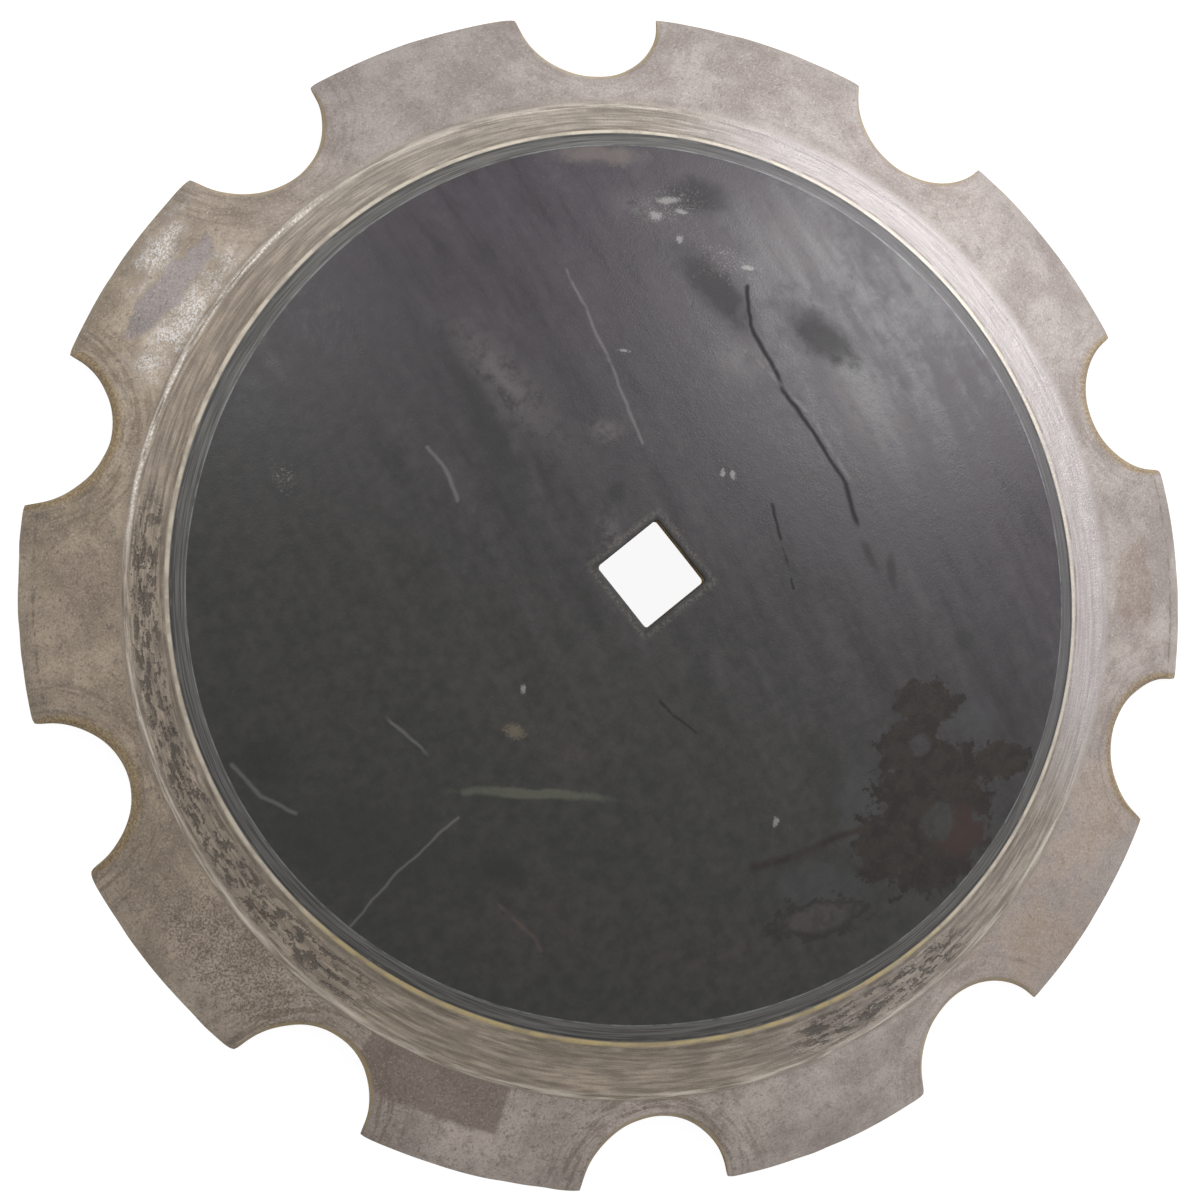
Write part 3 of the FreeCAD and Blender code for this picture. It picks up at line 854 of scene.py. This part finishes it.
def ring_colour(nodes, place, level, streaks, fine, sides):
    """The rings from the plate's edge to the ridge: the step with its fine threads, a line at its
    foot, and the hollowed band, smooth on the bright side and pitted on the soiled one. Painted
    highlights lie in it: a light line along the plate's edge, the pale line at the step's foot,
    a lighter step and band on the bright side, and a pale line with white glints along the
    ridge's crest. Gives the colour and the mask of the pits."""
    threads = ring_grain(nodes, place, level, 7.0, 1.5, 3.0)
    broken = ring_grain(nodes, place, level, 22.0, 0.12, 3.0)
    unlit = nodes.rest(sides["bright"])

    scaled = nodes.shade(threads, 0.3, 0.7, (62, 61, 59), (106, 104, 101))
    step = Coat(nodes, scaled)
    # Painted sheen: the step's colour is laid lighter and lilac on the bright side.
    step.lay((84, 81, 86), 0.5, sides["bright"])
    # Painted highlight: a thin light line along the plate's edge.
    edge = nodes.times(nodes.window(level, PLATE_EDGE - 0.6, PLATE_EDGE + 0.5, 0.5),
                       nodes.rise(broken, 0.35, 0.6))
    step.lay((132, 136, 138), 0.5, edge)
    groove = nodes.times(nodes.window(level, STEP_FOOT - 2.6, STEP_FOOT - 1.6, 0.5),
                         nodes.rise(broken, 0.3, 0.55))
    step.lay((42, 43, 44), 0.8, groove)

    fibre = nodes.rise(streaks, 0.32, 0.68)
    band = Coat(nodes, nodes.blend(fibre, tone(124, 115, 105), tone(164, 154, 144)))
    soiled = nodes.blend(fibre, tone(118, 104, 88), tone(166, 149, 128))
    band.lay(soiled, 0.55, sides["soiled"])
    # Painted highlight: the band's colour is laid lighter on the bright side.
    smooth_steel_highlight = nodes.blend(fibre, tone(160, 153, 153), tone(178, 171, 171))
    band.lay(smooth_steel_highlight, 0.85, sides["bright"])
    patchy = nodes.rise(ring_grain(nodes, place, level, 12.0, 0.12, 4.0), 0.42, 0.62)
    band.lay((112, 103, 95), 0.4, patchy, unlit)
    grooves = nodes.rise(ring_grain(nodes, place, level, 9.0, 0.7, 3.0), 0.6, 0.72)
    band.lay((86, 78, 70), 0.5, grooves, unlit)
    under = nodes.times(nodes.window(level, STEP_FOOT + 1.2, STEP_FOOT + 2.6, 0.6),
                        nodes.rise(broken, 0.35, 0.6))
    band.lay((98, 88, 74), 0.55, under)
    torn = nodes.plus(nodes.times(ring_grain(nodes, place, level, 34.0, 0.45, 6.0), 0.7),
                      nodes.times(fine, 0.3))
    pits = nodes.rise(torn, 0.49, 0.57)
    deep = nodes.times(pits, sides["pitted"],
                       nodes.window(level, STEP_FOOT + 4, RIDGE - 3, 2.5))
    band.lay((70, 64, 59), 0.75, deep)
    band.lay((90, 80, 70), 0.35, nodes.rise(fine, 0.52, 0.75), unlit)
    # Painted highlight: a pale line along the ridge's crest, off the bright side.
    crest = nodes.times(nodes.window(level, RIDGE - 1.6, RIDGE + 0.8, 0.9), fibre, unlit)
    band.lay((206, 196, 184), 0.7, crest)
    # Painted highlight: white glints on the crest.
    painted_crest_glints = nodes.times(crest, sides["crest_glint"], nodes.rise(fine, 0.45, 0.6))
    band.lay((236, 232, 228), 1.0, painted_crest_glints)

    colour = nodes.blend(nodes.rise(level, STEP_FOOT - 1.4, STEP_FOOT - 0.6), step.colour,
                         band.colour)
    # A pale line at the step's foot: a painted highlight along the step's edge, and a real yellow
    # on the yellow side.
    line = nodes.times(nodes.window(level, STEP_FOOT - 1.2, STEP_FOOT + 0.8, 0.45),
                       nodes.between(nodes.rise(broken, 0.4, 0.6), 0.45, 0.9))
    pale = nodes.blend(sides["yellow"], tone(196, 186, 170), tone(178, 160, 114))
    return nodes.blend(line, colour, pale), deep


# Marks on the rim, as on the plate. The brown film has straight sides: its middle, half width
# and soft edge round the turn, and its reach from and to.
BROWN_FILM_SIDE = (209, 8, 0.6)
BROWN_FILM_REACH = (254, 282)
RIM_FILMS = (
    ((272, 141), (18, 10), 55), ((272, 322), (26, 12), 50),
)
GRIMY_TOOTH = ((272, 185), (45, 20), -84)
WET_PATCH = ((275, 109), (32, 8), 12)
# Near-white glints painted on as a highlight where the rim faces the side lamp, which is also
# glossier there.
PAINTED_GLINT_PATCHES = (((259, 111), (48, 15), 15), ((290, 106), (28, 10), 25))


def rim_colour(nodes, place, gaps, streaks, fine, medium, sides):
    """The worn rim: bare steel, tan where soil stays and lilac grey where the soil is gone, with a
    cool reflection painted into the lilac side towards the sheen lamp and a lighter tone painted
    as fill light on the side away from the lamps; cloudy and finely scuffed, with films, a wet
    patch, near-white glints painted as a highlight, and yellow-brown rust along the cut edges.
    Gives the colour and the mask of what shines."""
    cloud = nodes.noise(place, 0.035, 5.0, 0.6)
    clouded = nodes.rise(cloud, 0.37, 0.63)
    steel_and_painted_light = nodes.blend(clouded, tone(136, 126, 122), tone(158, 149, 145))
    tan = nodes.blend(clouded, tone(140, 126, 107), tone(166, 150, 130))
    # Towards the sheen lamp the tan gives way to lilac grey: bare steel with a cool reflection
    # painted into its colour.
    soil_share = nodes.between(sides["soiled"], nodes.between(sides["lilac"], 0.45, 0.0), 0.9)
    coat = Coat(nodes, nodes.blend(soil_share, steel_and_painted_light, tan))
    # Painted fill light: a lighter steel tone on the side away from the lamps.
    coat.lay(nodes.blend(clouded, tone(158, 147, 141), tone(184, 172, 166)), 0.8, sides["steel_and_painted_light"])
    coat.lay((148, 130, 112), 0.7, sides["brown"], clouded)
    scuffs = nodes.rise(streaks, 0.45, 0.75)
    coat.lay((124, 111, 99), nodes.between(sides["soiled"], 0.22, 0.4), scuffs)
    lift = nodes.add("ShaderNodeCombineXYZ", {"Z": nodes.times(gaps["notch"], 0.35)}).outputs[0]
    flow = nodes.noise(nodes.vector("ADD", nodes.scaled(place, 0.045), lift), 1.0, 5.0, 0.65)
    near = nodes.times(nodes.fall(gaps["notch"], 12.0, 30.0),
                       nodes.rise(flow, 0.47, 0.6))
    coat.lay((106, 92, 76), nodes.between(sides["soiled"], 0.25, 0.6), near)

    mottle = nodes.rise(medium, 0.48, 0.68)
    coat.lay((112, 99, 90), nodes.between(sides["soiled"], 0.22, 0.4), mottle)
    ragged = nodes.noise(place, 0.09, 6.0, 0.65)
    reach = nodes.vector("LENGTH", nodes.flat(place), output="Value")
    brown = nodes.times(sector(nodes, place, *BROWN_FILM_SIDE),
                        nodes.window(nodes.plus(reach, nodes.times(ragged, 6.0)),
                                     BROWN_FILM_REACH[0] + 3, BROWN_FILM_REACH[1] + 3, 1.5))
    coat.lay((116, 102, 93), 0.8, brown)
    films = patches(nodes, place, ragged, RIM_FILMS, 0.7, 0.3)
    coat.lay((118, 100, 88), nodes.between(medium, 0.25, 0.7), films)
    grime = nodes.times(patch(nodes, place, ragged, GRIMY_TOOTH, 0.7, 0.4),
                        nodes.rise(fine, 0.42, 0.62))
    coat.lay((78, 68, 58), 0.6, grime)
    # Painted highlight: near-white glints laid into the rim's colour.
    painted_rim_glints = patches(nodes, place, ragged, PAINTED_GLINT_PATCHES, 1.2, 0.9)
    grains = nodes.rise(nodes.plus(fine, nodes.times(painted_rim_glints, 0.22)), 0.62, 0.86)
    coat.lay((232, 230, 230), 0.9, painted_rim_glints, grains)
    wet = patch(nodes, place, ragged, WET_PATCH, 0.9, 0.2)
    wet_tone = nodes.shade(streaks, 0.35, 0.65, (112, 104, 105), (140, 131, 131))
    coat.lay(wet_tone, 0.85, wet)

    grit = nodes.rise(fine, 0.5, 0.72)
    coat.lay((92, 82, 74), nodes.between(sides["soiled"], 0.4, 0.65), grit)
    light_grit = nodes.fall(fine, 0.3, 0.46)
    coat.lay((198, 188, 178), 0.4, light_grit)
    specks = nodes.rise(nodes.noise(place, 0.35, 3.0, 0.6), 0.6, 0.68)
    coat.lay((94, 82, 74), nodes.between(sides["soiled"], 0.3, 0.5), specks)

    heel = nodes.times(nodes.window(gaps["tooth"], BEVEL_WIDTH - 1.2, BEVEL_WIDTH + 0.2, 0.5),
                       nodes.rise(medium, 0.42, 0.56), sides["sharp"])
    coat.lay((92, 82, 70), 0.5, heel)
    into_steel = nodes.plus(gaps["notch"], nodes.times(medium, 2.4))
    into_steel = nodes.math("DIVIDE", into_steel, nodes.between(sides["rusty"], 1.0, 1.9))
    lip = nodes.fall(into_steel, 1.8, 4.0)
    rust = nodes.blend(nodes.times(sides["rusty"], nodes.rise(fine, 0.35, 0.6)),
                       tone(160, 140, 100), tone(118, 96, 66))
    coat.lay(rust, nodes.between(cloud, 0.5, 1.0), lip)
    edge = nodes.fall(nodes.plus(gaps["tooth"], nodes.times(medium, 2.0)), 0.9, 2.4)
    coat.lay((146, 132, 104), 0.5, edge)
    return coat.colour, nodes.most(painted_rim_glints, wet)


# How metallic each finish looks: bare steel is dulled by soil and oxide.
SCALE_METAL = 0.0
RIM_METAL = 0.2
CUT_METAL = 0.2
HOLLOW_METAL = 0.5


def wandering(nodes, place):
    """The place moved about a little, for marks that aren't quite straight."""
    drift = nodes.add("ShaderNodeTexNoise", {"Vector": place, "Scale": 0.03, "Detail": 3.0})
    drift = nodes.vector("SUBTRACT", drift.outputs["Color"], (0.5, 0.5, 0.5))
    return nodes.vector("ADD", place, nodes.scaled(drift, 8.0))


def finish(nodes, shader, colour, rough, height, metallic):
    """Joins a surface's colour, roughness and height, in millimetres, to its shader."""
    bump = nodes.add("ShaderNodeBump", {"Strength": 1.0, "Distance": MM, "Height": height})
    nodes.join(colour, shader.inputs["Base Color"])
    nodes.join(rough, shader.inputs["Roughness"])
    nodes.join(bump.outputs[0], shader.inputs["Normal"])
    shader.inputs["Metallic"].default_value = metallic


def plate_finish():
    """The unworn middle of the crown side, under its dark scale."""
    material, nodes, shader = new_material("scaled_plate")
    place = object_place(nodes)
    fine = nodes.noise(place, 0.85, 4.0, 0.65)
    medium = nodes.noise(place, 0.16, 4.0, 0.6)
    colour, rough = plate_colour(nodes, place, wandering(nodes, place), fine, medium)
    height = nodes.plus(nodes.times(fine, 0.1), nodes.times(medium, 0.12))
    finish(nodes, shader, colour, rough, height, SCALE_METAL)
    return material


def rim_finish():
    """The worn part of the crown side: the rings and the bare rim outside them."""
    material, nodes, shader = new_material("worn_rim")
    place = object_place(nodes)
    level = attribute(nodes, "level")
    gaps = {"notch": attribute(nodes, "notch_gap"), "tooth": attribute(nodes, "tooth_gap")}
    fine = nodes.noise(place, 0.85, 4.0, 0.65)
    medium = nodes.noise(place, 0.16, 4.0, 0.6)
    streaks = ring_grain(nodes, place, level, 11.0, 0.75, 5.0)
    sides = {name: sector(nodes, place, *side) for name, side in (
        ("bright", BRIGHT_SIDE), ("soiled", SOILED_SIDE), ("yellow", YELLOW_SIDE),
        ("crest_glint", CREST_GLINT_SIDE), ("lilac", LILAC_SIDE), ("steel_and_painted_light", PAINTED_FILL_SIDE),
        ("brown", BROWN_SIDE))}
    sides["pitted"] = nodes.most(sector(nodes, place, *PITTED_SIDE),
                                 sector(nodes, place, *PITTED_SPOT))
    sides["sharp"] = nodes.most(*(sector(nodes, place, *side) for side in SHARP_HEELS))
    sides["rusty"] = nodes.most(*(sector(nodes, place, *side) for side in RUSTY_NOTCHES))
    ring, deep = ring_colour(nodes, place, level, streaks, fine, sides)
    rim, shine = rim_colour(nodes, place, gaps, streaks, fine, medium, sides)

    past_step = nodes.rise(level, STEP_FOOT - 1.5, STEP_FOOT + 0.5)
    on_rim = nodes.rise(nodes.plus(level, nodes.times(streaks, 4.0)), RIDGE + 1, RIDGE + 7)
    colour = nodes.blend(on_rim, ring, rim)
    rough = nodes.between(nodes.times(shine, on_rim), nodes.between(fine, 0.44, 0.62), 0.32)
    polished = nodes.times(sides["bright"], nodes.rest(on_rim))
    rough = nodes.between(polished, rough, 0.4)
    height = nodes.plus(
        nodes.times(fine, nodes.between(past_step, 0.08, 0.3)),
        nodes.times(medium, nodes.between(past_step, 0.12, 0.4)),
        nodes.times(streaks, nodes.between(past_step, 0.05, 0.4),
                    nodes.between(on_rim, 1.0, 0.2)),
        nodes.times(deep, -0.6))
    finish(nodes, shader, colour, rough, height, RIM_METAL)
    return material


def cut_finish():
    """The cut walls of the rim, the notches and the hole: torn steel with yellow-brown rust, its
    tone kept light as painted light bounced up from the floor.
    """
    material, nodes, shader = new_material("rusted_cut_painted_bounce")
    place = object_place(nodes)
    fine = nodes.noise(place, 0.8, 4.0, 0.6)
    broad = nodes.noise(place, 0.05, 3.0, 0.5)
    # The rust's tone is kept light as painted light bounced up from the floor.
    rust = nodes.shade(broad, 0.35, 0.65, (124, 106, 78), (168, 146, 102))
    coat = Coat(nodes, rust)
    coat.lay((80, 66, 48), 0.5, nodes.rise(fine, 0.5, 0.75))
    finish(nodes, shader, coat.colour, nodes.between(fine, 0.5, 0.75), fine, CUT_METAL)
    return material


def hollow_finish():
    """The hollow side: steel scoured by the soil, darker towards the middle, with some rust."""
    material, nodes, shader = new_material("scoured_hollow")
    place = object_place(nodes)
    reach = nodes.vector("LENGTH", nodes.flat(place), output="Value")
    fine = nodes.noise(place, 0.8, 4.0, 0.6)
    broad = nodes.noise(place, 0.015, 4.0, 0.55)
    streaks = ring_grain(nodes, place, reach, 14.0, 0.25, 4.0)
    steel = nodes.blend(streaks, tone(132, 122, 114), tone(170, 160, 152))
    dark = nodes.blend(fine, tone(50, 49, 48), tone(72, 69, 66))
    scoured = nodes.rise(nodes.plus(reach, nodes.times(broad, 60.0)), 130.0, 230.0)
    coat = Coat(nodes, nodes.blend(scoured, dark, steel))
    coat.lay((104, 76, 54), 0.5, nodes.rise(broad, 0.5, 0.7))
    height = nodes.plus(nodes.times(fine, 0.3), nodes.times(streaks, 0.3))
    finish(nodes, shader, coat.colour, nodes.between(fine, 0.4, 0.6), height, HOLLOW_METAL)
    return material


# Edges sharper than this many degrees stay sharp in the shading.
CREASE = 28.0


def new_object(name, data):
    """An object in the scene, at the origin and unturned."""
    made = bpy.data.objects.new(name, data)
    bpy.context.scene.collection.objects.link(made)
    return made


def make_blade():
    """The whole blade, one closed surface, with its four finishes."""
    rows, level, gaps, crown_rows, wall_rows = blade_grid()
    mesh = closed_mesh("worn_blade", rows)
    add_attribute(mesh, "level", np.repeat(level, COLUMNS))
    for name, gap in zip(("notch_gap", "tooth_gap"), gaps):
        add_attribute(mesh, name, gap)
    for material in (plate_finish(), rim_finish(), cut_finish(), hollow_finish()):
        mesh.materials.append(material)
    kinds = np.full(len(rows), 3)
    kinds[:crown_rows - 1] = 1
    kinds[:np.searchsorted(level[:crown_rows], PLATE_EDGE - 0.5)] = 0
    kinds[crown_rows - 1:crown_rows + wall_rows] = 2
    kinds[-1] = 2
    mesh.polygons.foreach_set("material_index", np.repeat(kinds, COLUMNS).astype(np.int32))
    mesh.polygons.foreach_set("use_smooth", np.ones(len(mesh.polygons), bool))
    mesh.set_sharp_from_angle(angle=math.radians(CREASE))
    blade = new_object("worn_blade", mesh)
    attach(blade, "root")
    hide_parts("disc_blade")


# The light: each lamp's azimuth, elevation, distance, side and power in watts, and how strongly
# the world lights the blade. The floor lies this far under the blade, reaches this far out,
# and glows where the camera sees it, so that it stays pale.
SHEEN_LAMP = (6.0, 34.0, 2600.0, 1300.0, 60.0)
SIDE_LAMP = (94.0, 37.0, 2600.0, 500.0, 13.0)
WORLD_STRENGTH = 0.6
FLOOR_DROP = 0.2
FLOOR_HALF = 4000.0
FLOOR_GLOW = 0.93

# Where the viewer stands: the point looked at, then the way back to the camera.
VIEW_POINT = (-9.75, 2.68, 0.0)
VIEW_DISTANCE = 1646.5
VIEW_AZIMUTH = 170.14
VIEW_ELEVATION = 77.42
VIEW_ROLL = 61.18
VIEW_LENS = 96.0
VIEW_SENSOR = 36.0


def towards(azimuth, elevation):
    """The unit vector at this azimuth and elevation, in degrees."""
    around, up = math.radians(azimuth), math.radians(elevation)
    return Vector((math.cos(up) * math.cos(around), math.cos(up) * math.sin(around),
                   math.sin(up)))


def make_camera():
    """Looks down on the crown side, turned about its own axis by the roll."""
    camera = new_object("camera", bpy.data.cameras.new("camera"))
    camera.data.lens = VIEW_LENS
    camera.data.sensor_width = VIEW_SENSOR
    back = towards(VIEW_AZIMUTH, VIEW_ELEVATION)
    camera.location = (Vector(VIEW_POINT) + back * VIEW_DISTANCE) * MM
    camera.rotation_mode = "QUATERNION"
    roll = Quaternion((0, 0, 1), math.radians(VIEW_ROLL))
    camera.rotation_quaternion = back.to_track_quat("Z", "Y") @ roll
    bpy.context.scene.camera = camera


def make_lamp(name, azimuth, elevation, distance, size, power):
    """A square soft lamp that looks at the middle of the blade."""
    light = bpy.data.lights.new(name, "AREA")
    light.shape = "SQUARE"
    light.size = size * MM
    light.energy = power
    lamp = new_object(name, light)
    back = towards(azimuth, elevation)
    lamp.location = back * distance * MM
    lamp.rotation_mode = "QUATERNION"
    lamp.rotation_quaternion = back.to_track_quat("Z", "Y")


def make_world():
    """Soft white light from all round, and plain white where the camera sees it."""
    world = bpy.data.worlds.new("studio")
    world.use_nodes = True
    nodes = Nodes(world.node_tree)
    background = next(n for n in world.node_tree.nodes if n.type == "BACKGROUND")
    background.inputs["Color"].default_value = (1.0, 1.0, 1.0, 1.0)
    path = nodes.add("ShaderNodeLightPath")
    strength = nodes.between(path.outputs["Is Camera Ray"], WORLD_STRENGTH, 1.0)
    nodes.join(strength, background.inputs["Strength"])
    bpy.context.scene.world = world


def make_floor():
    """A white floor just under the cutting edge. It keeps a light shadow of the blade."""
    corners = [(x * FLOOR_HALF * MM, y * FLOOR_HALF * MM, -FLOOR_DROP * MM)
               for x, y in ((-1, -1), (1, -1), (1, 1), (-1, 1))]
    mesh = bpy.data.meshes.new("floor")
    mesh.from_pydata(corners, [], [(0, 1, 2, 3)])
    material, nodes, shader = new_material("white_floor")
    shader.inputs["Roughness"].default_value = 1.0
    shader.inputs["Specular IOR Level"].default_value = 0.0
    shader.inputs["Emission Color"].default_value = (1.0, 1.0, 1.0, 1.0)
    seen = nodes.add("ShaderNodeLightPath").outputs["Is Camera Ray"]
    pale = nodes.blend(seen, tone(225, 225, 225), tone(124, 124, 124))
    nodes.join(pale, shader.inputs["Base Color"])
    nodes.join(nodes.times(seen, FLOOR_GLOW), shader.inputs["Emission Strength"])
    mesh.materials.append(material)
    new_object("floor", mesh)


make_blade()
make_floor()
make_world()
make_lamp("sheen_lamp", *SHEEN_LAMP)
make_lamp("side_lamp", *SIDE_LAMP)
make_camera()
bpy.context.scene.view_settings.view_transform = "Standard"
